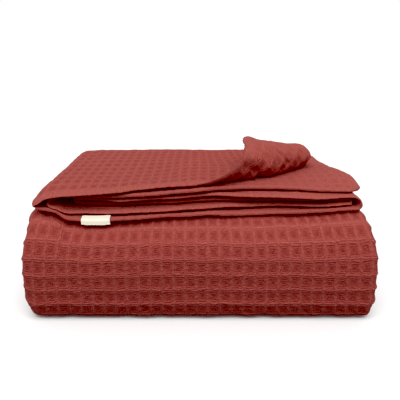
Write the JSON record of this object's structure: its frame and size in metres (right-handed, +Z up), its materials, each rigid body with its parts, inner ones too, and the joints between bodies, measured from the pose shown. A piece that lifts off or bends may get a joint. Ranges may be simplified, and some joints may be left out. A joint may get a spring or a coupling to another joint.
{
  "type": "folded waffle weave blanket",
  "caption": "Waffle weave cotton blanket folded into a thick bundle: a tall rounded front fold, a stack of hemmed layers on top with one corner turned back, and a small bare tape label.",
  "frame": {"origin": "on the surface the blanket rests on, under the middle of its box", "axes": "+X along the long side of the folded bundle, +Z up, -Y towards the tall front fold and the hems"},
  "size_m": [0.3682, 0.2494, 0.1802],
  "materials": {
    "cotton": "matt brick red cotton in a deep waffle weave",
    "tape": "matt cream woven tape, bare"
  },
  "bodies": {
    "root": {"blanket": "cotton", "label": "tape"}
  },
  "joints": []
}
